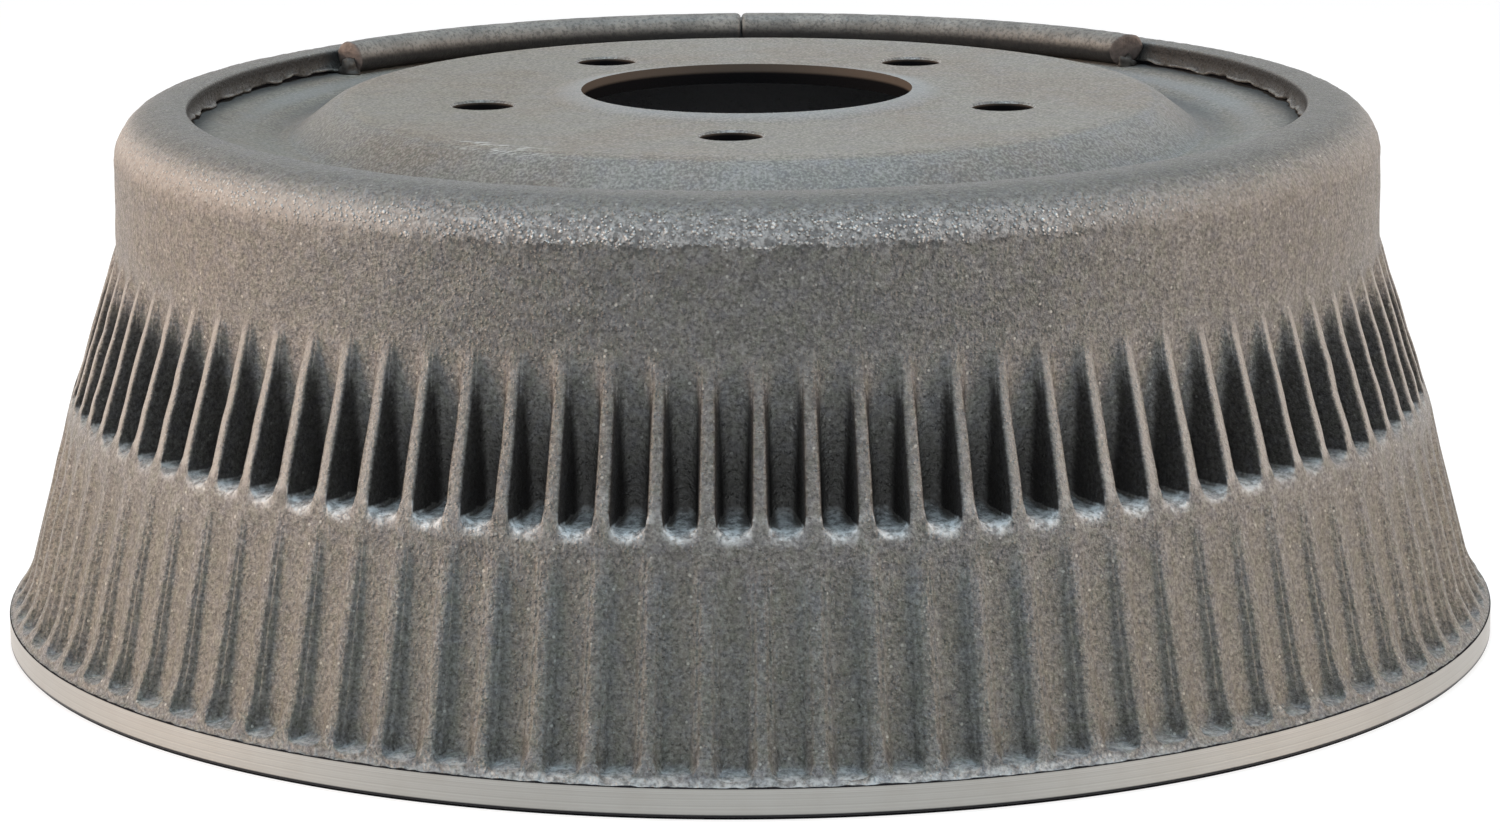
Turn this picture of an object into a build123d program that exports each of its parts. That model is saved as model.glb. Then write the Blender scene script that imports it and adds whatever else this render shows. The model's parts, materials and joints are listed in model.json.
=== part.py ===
"""Composite brake drum: a finned cast-iron ring, a pressed-steel web cast into it,
and two round balance rods that lie in the recess between the web and the rim.

Millimetres and degrees. The origin is at the centre of the open face and +Z points
up to the wheel face. The first stud hole lies towards -Y, and angles run from +X.
"""

import math
import os

from build123d import *

# Overall: the drum's height, and the friction surface that its radii follow
rim_height = 125.05
friction_diameter = 304.8
friction_top_height = 51.5
friction_shoulder_rise = 2.5
mouth_chamfer = 2.0

# Ring: walls outside the friction surface
band_wall = 24.0
band_height = 6.7
band_edge_break = 0.7
skirt_bottom_wall = 20.6
skirt_bottom_rise = 1.6
skirt_top_wall = 8.4
skirt_top_rise = 3.5

# Ring: hat, the plain wall above the fins, and the rim at its top
hat_inset = 3.8
hat_wall = 7.6
hat_plain_height = 31.45
rim_width = 17.3
rim_shoulder_radius = 12.0
rim_inner_break = 0.8
web_lip_depth = 4.2
web_lip_slope_height = 7.5

# Fins: pockets between them, and the shallow flutes that carry on down the skirt
fin_count = 90
first_fin_angle = -90.0
pocket_width = 7.8
pocket_corner_cut = 2.4
pocket_floor_depth = 0.6
pocket_floor_draft = 1.5
pocket_bottom_rise = 6.5
pocket_ledge_slope = 18.0
flute_width = 8.8
flute_corner_cut = 2.6
flute_depth = 2.9
flute_top_drop = 5.0
flute_bottom_rise = 2.1
flute_ledge_slope = 18.0

# Web: wheel face, pilot bore and stud holes
wheel_face_stand = 0.75
web_thickness = 4.7
pilot_bore_radius = 39.0
pilot_lip_rise = 1.2
pilot_lip_width = 8.0
stud_count = 5
stud_circle_diameter = 127.0
stud_hole_radius = 7.15
stud_hole_edge_break = 0.5
first_stud_angle = -90.0

# Web: pressed step from the wheel face down to the seat in the ring
step_width = 12.2
trough_width = 15.0
trough_depth = 9.4
seat_depth = 6.4
web_bite = 8.7
lip_bend_radius = 12.0
shoulder_bend_radius = 12.0
trough_bend_radius = 8.0
seat_bend_radius = 14.0

# Balance rods, butted end to end in the recess
rod_radius = 4.0
rod_wall_clearance = 0.1
rod_seat_clearance = 0.03
rod_joint_angle = 93.8
rod_joint_gap = 0.2
rod_left_arc = 50.8
rod_right_arc = 49.3
rod_joint_round = 1.5
rod_end_break = 0.5

# Tack welds at the foot of each rod's outer end
weld_radius = 3.2
weld_inward_offset = 0.6
weld_lift = 0.4

# Heights that follow from the driving ones
wheel_face_height = rim_height + wheel_face_stand
seat_height = wheel_face_height - seat_depth
web_lip_bottom = seat_height - web_thickness - web_lip_depth
hat_bore_top = web_lip_bottom - web_lip_slope_height
fin_top_height = rim_height - hat_plain_height
friction_shoulder_height = friction_top_height + friction_shoulder_rise
skirt_top_height = friction_top_height + skirt_top_rise
skirt_bottom_height = band_height + skirt_bottom_rise
rod_height = seat_height + rod_seat_clearance + rod_radius
weld_height = seat_height + weld_lift

# Radii that follow from the friction surface's
friction_radius = friction_diameter / 2
band_radius = friction_radius + band_wall
skirt_bottom_radius = friction_radius + skirt_bottom_wall
skirt_top_radius = friction_radius + skirt_top_wall
hat_radius = friction_radius - hat_inset
hat_bore_radius = hat_radius - hat_wall
rim_inner_radius = hat_radius - rim_width
web_outer_radius = rim_inner_radius + web_bite
rod_path_radius = rim_inner_radius - rod_wall_clearance - rod_radius
weld_path_radius = rod_path_radius - weld_inward_offset
seat_inner_radius = rod_path_radius - rod_radius
trough_radius = seat_inner_radius - trough_width
wheel_face_radius = trough_radius - step_width
pilot_lip_radius = pilot_bore_radius + pilot_lip_width
stud_circle_radius = stud_circle_diameter / 2
radius_match = 0.01

# Angles of the rods' ends
rod_joint_half_angle = math.degrees(rod_joint_gap / 2 / rod_path_radius)
left_rod_start_angle = rod_joint_angle + rod_joint_half_angle
left_rod_end_angle = left_rod_start_angle + rod_left_arc
right_rod_end_angle = rod_joint_angle - rod_joint_half_angle - rod_right_arc

# Grooves
fin_pitch = 360 / fin_count
first_pocket_angle = first_fin_angle + fin_pitch / 2
pocket_floor_radius = hat_radius - pocket_floor_depth
pocket_bottom_height = skirt_top_height + pocket_bottom_rise
pocket_tool_height = fin_top_height - pocket_bottom_height + pocket_width
skirt_flare = (skirt_bottom_radius - skirt_top_radius) / (skirt_top_height - skirt_bottom_height)
flute_top_height = skirt_top_height - flute_top_drop
flute_bottom_height = skirt_bottom_height + flute_bottom_rise
flute_top_radius = skirt_top_radius + flute_top_drop * skirt_flare
flute_floor_radius = skirt_bottom_radius - flute_bottom_rise * skirt_flare - flute_depth
flute_floor_run = flute_floor_radius - flute_top_radius
flute_floor_tilt = math.degrees(math.atan2(flute_floor_run, flute_top_height - flute_bottom_height))
flute_tool_height = flute_top_height - flute_bottom_height + flute_width
tool_reach = band_radius - hat_radius

os.makedirs("parts", exist_ok=True)


def radial_plane(angle):
    """A plane through the drum's axis: local x runs outwards and local y runs up."""
    turn = math.radians(angle)
    outwards = (math.cos(turn), math.sin(turn), 0)
    sideways = (math.sin(turn), -math.cos(turn), 0)
    return Plane(origin=(0, 0, 0), x_dir=outwards, z_dir=sideways)


def floor_plane(radius, height, lean):
    """A groove's floor on the +X side, leaning outwards at its top by lean degrees."""
    tilt = math.radians(lean)
    outwards = (math.cos(tilt), 0, -math.sin(tilt))
    return Plane(origin=(radius, 0, height), x_dir=(0, 1, 0), z_dir=outwards)


def ledge_direction(slope):
    """The way a groove's bottom ledge runs: outwards, and down by slope degrees."""
    fall = math.radians(slope)
    return (math.cos(fall), 0, -math.sin(fall))


# Web disc: one pressed sheet, revolved from the line of its upper side
with BuildPart() as web_disc:
    with BuildSketch(Plane.XZ) as web_section:
        with BuildLine() as web_line:
            lip_slope = pilot_lip_rise / pilot_lip_width
            web_start_radius = pilot_bore_radius - web_thickness
            web_start_rise = (pilot_lip_radius - web_start_radius) * lip_slope
            FilletPolyline(
                (web_start_radius, wheel_face_height + web_start_rise),
                (pilot_lip_radius, wheel_face_height),
                (wheel_face_radius, wheel_face_height),
                (trough_radius, wheel_face_height - trough_depth),
                (seat_inner_radius, seat_height),
                (web_outer_radius, seat_height),
                radius=(lip_bend_radius, shoulder_bend_radius, trough_bend_radius, seat_bend_radius),
            )
            offset(amount=web_thickness, side=Side.RIGHT)
        make_face()
    revolve(axis=Axis.Z)
    with Locations((0, 0, wheel_face_height)):
        Hole(pilot_bore_radius)
        with PolarLocations(stud_circle_radius, stud_count, start_angle=first_stud_angle):
            Hole(stud_hole_radius)
    stud_edges = web_disc.edges().filter_by(GeomType.CIRCLE)
    stud_edges = stud_edges.filter_by(
        lambda edge: math.isclose(edge.radius, stud_hole_radius, abs_tol=radius_match)
    )
    chamfer(stud_edges, stud_hole_edge_break)

# Pocket cutter: a drafted slot with cut bottom corners and a ledge that falls outwards
with BuildPart() as pocket_cutter:
    with BuildSketch(floor_plane(pocket_floor_radius, pocket_bottom_height, pocket_floor_draft)):
        pocket_outline = Rectangle(pocket_width, pocket_tool_height, align=(Align.CENTER, Align.MIN))
        chamfer(pocket_outline.vertices().group_by(Axis.Y)[0], pocket_corner_cut)
    extrude(amount=tool_reach, dir=ledge_direction(pocket_ledge_slope))

# Flute cutter: the same kind of slot, running out to nothing at its top
with BuildPart() as flute_cutter:
    with BuildSketch(floor_plane(flute_floor_radius, flute_bottom_height, -flute_floor_tilt)):
        flute_outline = Rectangle(flute_width, flute_tool_height, align=(Align.CENTER, Align.MIN))
        chamfer(flute_outline.vertices().group_by(Axis.Y)[0], flute_corner_cut)
    extrude(amount=tool_reach, dir=ledge_direction(flute_ledge_slope))

# Drum ring: one casting, with rim, hat, fins, skirt and machined band
with BuildPart() as drum_ring:
    with BuildSketch(Plane.XZ) as ring_section:
        with BuildLine() as ring_line:
            Polyline(
                (rim_inner_radius, rim_height),
                (hat_radius, rim_height),
                (hat_radius, fin_top_height),
                (skirt_top_radius, skirt_top_height),
                (skirt_bottom_radius, skirt_bottom_height),
                (band_radius, band_height),
                (band_radius, 0),
                (friction_radius, 0),
                (friction_radius, friction_top_height),
                (hat_bore_radius, friction_shoulder_height),
                (hat_bore_radius, hat_bore_top),
                (rim_inner_radius, web_lip_bottom),
                (rim_inner_radius, rim_height),
            )
        make_face()
        rim_corners = ring_section.vertices().group_by(Axis.Y)[-1].sort_by(Axis.X)
        fillet(rim_corners[-1], rim_shoulder_radius)
        fillet(rim_corners[0], rim_inner_break)
        mouth_corners = ring_section.vertices().group_by(Axis.Y)[0].sort_by(Axis.X)
        chamfer(mouth_corners[0], mouth_chamfer)
        chamfer(mouth_corners[-1], band_edge_break)
    revolve(axis=Axis.Z)
    with PolarLocations(0, fin_count, start_angle=first_pocket_angle):
        add(pocket_cutter.part, mode=Mode.SUBTRACT)
        add(flute_cutter.part, mode=Mode.SUBTRACT)
    add(web_disc.part, mode=Mode.SUBTRACT)

# Left balance rod, from the joint round to its outer end
with BuildPart() as balance_rod_left:
    with BuildSketch(radial_plane(left_rod_start_angle)):
        with Locations((rod_path_radius, rod_height)):
            Circle(rod_radius)
    revolve(axis=Axis.Z, revolution_arc=rod_left_arc)
    left_ends = balance_rod_left.faces().filter_by(GeomType.PLANE).sort_by(Axis.X)
    left_joint_edges = left_ends[-1].edges()
    left_outer_edges = left_ends[0].edges()
    fillet(left_joint_edges, rod_joint_round)
    chamfer(left_outer_edges, rod_end_break)

# Right balance rod, from its outer end round to the joint
with BuildPart() as balance_rod_right:
    with BuildSketch(radial_plane(right_rod_end_angle)):
        with Locations((rod_path_radius, rod_height)):
            Circle(rod_radius)
    revolve(axis=Axis.Z, revolution_arc=rod_right_arc)
    right_ends = balance_rod_right.faces().filter_by(GeomType.PLANE).sort_by(Axis.X)
    right_joint_edges = right_ends[0].edges()
    right_outer_edges = right_ends[-1].edges()
    fillet(right_joint_edges, rod_joint_round)
    chamfer(right_outer_edges, rod_end_break)

# Tack welds: lumps in the corner between a rod's outer end face and the flat seat
with BuildPart() as tack_weld_left:
    with Locations(radial_plane(left_rod_end_angle)):
        with Locations((weld_path_radius, weld_height)):
            Sphere(weld_radius)
    split(bisect_by=radial_plane(left_rod_end_angle), keep=Keep.BOTTOM)
    split(bisect_by=Plane.XY.offset(seat_height), keep=Keep.TOP)

with BuildPart() as tack_weld_right:
    with Locations(radial_plane(right_rod_end_angle)):
        with Locations((weld_path_radius, weld_height)):
            Sphere(weld_radius)
    split(bisect_by=radial_plane(right_rod_end_angle), keep=Keep.TOP)
    split(bisect_by=Plane.XY.offset(seat_height), keep=Keep.TOP)

drum_ring.part.label = "drum_ring"
web_disc.part.label = "web_disc"
balance_rod_left.part.label = "balance_rod_left"
balance_rod_right.part.label = "balance_rod_right"
tack_weld_left.part.label = "tack_weld_left"
tack_weld_right.part.label = "tack_weld_right"

export_step(drum_ring.part, "parts/drum_ring.step")
export_step(web_disc.part, "parts/web_disc.step")
export_step(balance_rod_left.part, "parts/balance_rod_left.step")
export_step(balance_rod_right.part, "parts/balance_rod_right.step")
export_step(tack_weld_left.part, "parts/tack_weld_left.step")
export_step(tack_weld_right.part, "parts/tack_weld_right.step")
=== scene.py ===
"""Looks of the composite brake drum: its casting, web, balance rods and tack welds.

Metres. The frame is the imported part's: the origin at the centre of the open face,
+Z up to the wheel face, and the first stud hole towards -Y.
"""

import json
import math

import bpy
import numpy as np
from mathutils import Matrix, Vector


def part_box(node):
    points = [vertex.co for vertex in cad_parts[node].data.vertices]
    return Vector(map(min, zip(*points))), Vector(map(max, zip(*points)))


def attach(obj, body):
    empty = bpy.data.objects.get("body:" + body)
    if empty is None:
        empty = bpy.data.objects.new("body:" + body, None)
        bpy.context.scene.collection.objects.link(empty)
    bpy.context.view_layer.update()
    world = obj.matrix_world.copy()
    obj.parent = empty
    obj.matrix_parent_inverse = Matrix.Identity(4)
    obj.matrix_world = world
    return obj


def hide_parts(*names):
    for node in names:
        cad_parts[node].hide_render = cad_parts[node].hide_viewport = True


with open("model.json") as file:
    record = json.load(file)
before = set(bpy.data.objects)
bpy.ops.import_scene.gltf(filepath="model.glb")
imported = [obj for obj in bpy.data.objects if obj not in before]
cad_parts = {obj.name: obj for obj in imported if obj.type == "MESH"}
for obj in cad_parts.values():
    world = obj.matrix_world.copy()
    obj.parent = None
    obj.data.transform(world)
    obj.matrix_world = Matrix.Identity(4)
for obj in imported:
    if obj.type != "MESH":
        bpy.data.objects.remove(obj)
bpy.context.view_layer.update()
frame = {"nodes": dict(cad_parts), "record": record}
mounts = {mount["name"]: mount for mount in frame["record"]["mounts"]}
MILLIMETRE = 0.001
SEED = 7

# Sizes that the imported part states
ring_low, ring_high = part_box("drum_ring")
_, web_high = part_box("web_disc")
_, rod_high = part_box("balance_rod_left")
band_radius = min(ring_high.x, -ring_low.x)
rim_height = ring_high.z
web_outer_radius = web_high.x
friction_radius = mounts["friction_surface"]["dims"]["r_mm"] * MILLIMETRE
wheel_face_height = mounts["wheel_face"]["pos_m"][2]
web_thickness = wheel_face_height - mounts["hub_face"]["pos_m"][2]

# Rim and hat
RIM_INNER_RADIUS = 0.1313
RIM_INNER_BREAK = 0.0008
RIM_BREAK_MIDDLE = 0.293
RIM_WALL_RING_DROP = 0.0012
SHOULDER_RADIUS = 0.012
SHOULDER_SINK = 1.4
COARSE_SHOULDER_TURNS = (88, 77, 66, 55, 45)
FINE_SHOULDER_TURNS = (36, 26, 19, 14, 11, 8, 4)
HAT_RADIUS = 0.1486
HAT_TOP_RING = 0.1126
HAT_RINGS = (0.1107, 0.108, 0.105, 0.102, 0.099)
HAT_BOTTOM_RING = 0.0965
HAT_BORE_RADIUS = 0.1410
HAT_BORE_RINGS = (0.066, 0.079, 0.091, 0.103)
WEB_LIP_BOTTOM = 0.1105
SEAT_DEPTH = 0.0064
seat_height = wheel_face_height - SEAT_DEPTH

# Skirt and machined band
FIN_TOP_HEIGHT = 0.0936
SKIRT_TOP_HEIGHT = 0.055
SKIRT_TOP_RADIUS = 0.1608
SKIRT_BOTTOM_HEIGHT = 0.0083
SKIRT_BOTTOM_RADIUS = 0.1730
FOOT_FLARE = 0.0024
FOOT_FLARE_HEIGHT = 0.0170
FOOT_FLARE_POWER = 1.6
BAND_HEIGHT = 0.0067
BAND_EDGE_BREAK = 0.0007
FACE_RING_INSET = 0.004
FACE_INNER_RING_INSET = 0.010
FRICTION_TOP_HEIGHT = 0.0515
FRICTION_RINGS = (0.018, 0.035)
FRICTION_SHOULDER_HEIGHT = 0.054
MOUTH_CHAMFER = 0.002

# Grooves: deep pockets between the fins, and shallow flutes below them
FIN_COUNT = 90
FIRST_FIN_ANGLE = math.radians(-90)
POCKET_FLOOR_RADIUS = 0.1480
POCKET_FLOOR_HEIGHT = 0.0594
POCKET_FLOOR_DRAFT = math.radians(1.5)
POCKET_LIP_HEIGHT = 0.0558
POCKET_RINGS = (0.0946, 0.0934, 0.0922, 0.0905, 0.0880, 0.0850, 0.0815, 0.0775, 0.0735)
FLUTE_DEPTH = 0.0026
FLUTE_DEPTH_POWER = 0.55
FLUTE_TOP_HEIGHT = 0.053
FLUTE_FLOOR_HEIGHT = 0.0096
FLUTE_LIP_HEIGHT = 0.0081
FLUTE_RINGS = (0.0540, 0.0528, 0.0518, 0.0495, 0.0430, 0.0300, 0.0180)

# How a groove's edges are rounded, and how unlike its neighbours it is
POCKET_SHAPE = {
    "half_width": 0.0039,
    "draft": 0.06,
    "edge_round": 0.0007,
    "floor_round": 0.0018,
    "end_round": 0.0036,
    "seed": 11,
}
FLUTE_SHAPE = {
    "half_width": 0.0042,
    "draft": 0.25,
    "edge_round": 0.0009,
    "floor_round": 0.0014,
    "end_round": 0.0018,
    "seed": 12,
}
CREST_KEPT = 0.0003
LEAST_WALL = 0.0003
END_ROUND_POWER = 2.2
ARC_MIDDLE = 1 - math.sqrt(0.5)
DOME_BEND = 2.4
DOME_COLUMNS = 5
DOME_FADE_COLUMNS = 2
END_RING_SHARES = (0.7, 0.35)
WIDTH_SPREAD = 0.00012
SHIFT_SPREAD = 0.00015
DROP_SPREAD = 0.00030

# A ledge from the groove's floor out to its lip: shares of its depth and of its rise
LEDGE_PROFILE = [
    (1.00, 1.30), (0.95, 1.00), (0.80, 0.80), (0.55, 0.60),
    (0.30, 0.43), (0.14, 0.27), (0.04, 0.10), (0.00, -0.08),
]

# Balance rods and the welds at their outer ends
ROD_SEAT_CLEARANCE = 0.00003
ROD_WALL_CLEARANCE = 0.0001
rod_seat_height = seat_height + ROD_SEAT_CLEARANCE
rod_radius = (rod_high.z - rod_seat_height) / 2
rod_path_radius = RIM_INNER_RADIUS - ROD_WALL_CLEARANCE - rod_radius
ROD_JOINT_ANGLE = math.radians(93.8)
ROD_JOINT_GAP = 0.0002
# Side, direction of its turn, arc, how its end is sheared up and across, and its weld's size
ROD_SIDES = [
    ("left", 1, math.radians(50.8), (0.10, 0.06), 1.0),
    ("right", -1, math.radians(49.3), (0.30, 0.50), 0.8),
]
ROD_COLUMNS = 40
ROD_RINGS = 110
ROD_SHEAR_REACH = 0.004
ROD_BODY_START = 0.003
ROD_BODY_END = 0.0008
# Distance along the rod and share of its radius, at each end
ROD_JOINT_END = [(0.0, 0.70), (0.0001, 0.83), (0.0004, 0.92), (0.0008, 0.975), (0.0013, 1.0)]
ROD_OUTER_END = [(-0.0003, 1.01), (-0.0001, 0.96), (0.0, 0.80), (0.0, 0.4)]
SHEARED_RINGS = 3
WELD_REACH = 0.0030
WELD_WIDTH = 0.0034
WELD_HEIGHT = 0.0030
WELD_TURNS = (0, 15, 30, 45, 58, 70, 80)
WELD_INSET = 0.0004
WELD_LIFT = 0.0006
WELD_SINK = 0.0002
WELD_WALL_CLEARANCE = 0.00005
WELD_SEAT_CLEARANCE = 0.00002
WELD_SEED = 61

# The casting's own unevenness: how far it goes, how long its waves are, and its seeds
SKIN_WAVE = 0.00010
SKIN_WAVE_LENGTH = 0.011
SKIN_SEED = 3
INSIDE_WAVE_LENGTH = 0.018
INSIDE_SEED = 5
RAGGED_LEDGE = 0.00014
LEDGE_BUMP_LIMITS = (-1.5, 2.5)
# Radius, height and share of the raggedness, from the skirt out to the band
LEDGE_STEPS = [
    (0.1756, 0.0073, 1.0), (0.1758, 0.0072, 1.0),
    (0.1761, 0.0070, 0.6), (0.1763, 0.0069, 0.3),
]
FLASH_REACH = 0.0014
FLASH_HEIGHT = 0.0006
FLASH_SHARE = 0.70
LEAST_FLASH = 0.10
FLASH_BULGE = 0.8
FLASH_LIFT = 0.0009
FLASH_SEAT_INSET = 0.0006
FLASH_ROOT_INSET = 0.0003
FLASH_ROOT_DROP = 0.0004
FLASH_TOP_REACH = 0.0001
RIDGE_HEIGHT = 0.1150
RIDGE_PROUD = 0.00016
RIDGE_RISE = 0.0005
RIDGE_LUMPS = 0.6
RIDGE_SIDE_FADE = 0.12
RIDGE_SIDE_LEAST = 0.25

# Layers of waves: how high each is, how long in metres, and its seed
LEDGE_WAVES = [(1.0, 0.0045, 21), (0.6, 0.0022, 22)]
FLASH_REACH_WAVES = [(0.30, 0.016, 31), (0.25, 0.005, 32)]
FLASH_DROOP_WAVES = [(0.0003, 0.009, 33)]
CROWN_WAVES = [(1.0, 0.014, 4)]
RIDGE_LINE_WAVES = [(0.0005, 0.0060, 41), (0.0004, 0.0022, 42)]
RIDGE_LUMP_WAVES = [(1.0, 0.0019, 43)]
SHOULDER_WAVES = [(1.0, 0.010, 3), (0.8, 0.0035, 6)]
ROD_WAVES = [(0.00004, 0.006, 51)]
WELD_WAVES = [(0.16, 0.0034, 0), (0.06, 0.0013, 1)]

# The second material of the casting and of a bar
MACHINED = 1
SHEARED = 1

# Columns of the casting's rings
GROOVE_COLUMNS = 16
GROOVE_MIDDLE = GROOVE_COLUMNS // 2
FINE_COLUMNS = GROOVE_COLUMNS * FIN_COUNT
MEDIUM_COLUMNS = FINE_COLUMNS // 2
COARSE_COLUMNS = FINE_COLUMNS // 4

# Noises of the materials: their features' size in metres, and their detail, offset and roughness
IRON_NOISES = {
    "mottle": (0.008, 5),
    "broad": (0.055, 2, 3.0),
    "tint": (0.0030, 2, 5.0),
    "coarse": (0.0015, 2, 7.0),
    "grain": (0.0008, 3, 0.0, 0.65),
    "fine": (0.00035, 1),
    "patches": (0.026, 3, 1.0),
    "rag": (0.0026, 4),
    "clumps": (0.0045, 2, 9.0),
}
# Granules: their size in metres, the share of cells that hold one, and their offset
IRON_GRANULES = {
    "specks": (0.0026, 0.40, 2.0),
    "grit": (0.0010, 0.55),
    "knobs": (0.0014, 0.50, 4.0),
}
WEB_NOISES = {
    "mottle": (0.012, 6),
    "stain": (0.045, 3, 6.0),
    "tint": (0.0040, 2, 5.0),
    "coarse": (0.0025, 3, 7.0),
    "grain": (0.0007, 3),
}
MACHINED_NOISES = {"stain": (0.012, 4)}
RAG_REACH = 0.0062
GRANULE_PICK_FADE = 0.05
GRANULE_DOME = (0.05, 0.48, 1, 0)
TURNED_LINES = 2600.0
SCRATCH_LINES = 1600.0
SCRATCH_STRETCH = (0.12, 1.0, 1.0)

# Two tones of each surface: what they follow, from and to which value, and the colours there
IRON_TONES = ("mottle", 0.35, 0.65, (0.137, 0.135, 0.128), (0.180, 0.177, 0.168))
PALE_TONES = ("coarse", 0.40, 0.58, (0.165, 0.166, 0.168), (0.395, 0.395, 0.397))
MACHINED_TONES = ("lines", 0.3, 0.7, (0.315, 0.312, 0.296), (0.375, 0.372, 0.355))
WEB_TONES = ("mottle", 0.3, 0.7, (0.165, 0.166, 0.160), (0.232, 0.232, 0.223))
# Painted shade inside the web's holes and bore: black deep down, brown near the top
BORE_TONES = (
    "height",
    wheel_face_height - 0.0012,
    wheel_face_height - 0.0003,
    (0.008, 0.008, 0.009),
    (0.100, 0.084, 0.072),
)

# Layers of colour: what each follows, from and to which value, its shares there, and its colour
IRON_LAYERS = [
    ("broad", 0.42, 0.66, 0, 0.45, (0.175, 0.160, 0.142)),
    ("tint", 0.50, 0.66, 0, 0.50, (0.150, 0.158, 0.125)),
    ("tint", 0.34, 0.50, 0.50, 0, (0.150, 0.152, 0.172)),
    ("coarse", 0.34, 0.50, 0.50, 0, (0.070, 0.069, 0.067)),
    ("coarse", 0.52, 0.68, 0, 0.35, (0.30, 0.30, 0.29)),
    ("grain", 0.34, 0.50, 0.80, 0, (0.045, 0.044, 0.043)),
    ("grain", 0.52, 0.68, 0, 0.65, (0.33, 0.33, 0.32)),
    # Light specks: painted glints across the skin
    ("specks", 0.84, 0.98, 0, 0.75, (0.50, 0.50, 0.47)),
]
PALE_LAYERS = [
    ("grain", 0.38, 0.52, 0.60, 0, (0.060, 0.060, 0.061)),
    # Towards the sides the pale grains are painted lighter and warmer, as a painted sheen of the
    # side lights
    ("frontal", 0.0, 1.0, 0.75, 0, (0.350, 0.330, 0.312)),
]
MACHINED_LAYERS = [("stain", 0.40, 0.70, 0, 0.3, (0.30, 0.29, 0.265))]
WEB_LAYERS = [
    ("stain", 0.44, 0.62, 0, 0.80, (0.185, 0.164, 0.145)),
    ("tint", 0.50, 0.66, 0, 0.40, (0.190, 0.198, 0.172)),
    ("tint", 0.34, 0.50, 0.40, 0, (0.190, 0.192, 0.212)),
    ("coarse", 0.36, 0.50, 0.30, 0, (0.130, 0.130, 0.128)),
    ("grain", 0.38, 0.50, 0.60, 0, (0.090, 0.090, 0.088)),
    ("grain", 0.50, 0.62, 0, 0.45, (0.38, 0.38, 0.37)),
]

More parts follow.
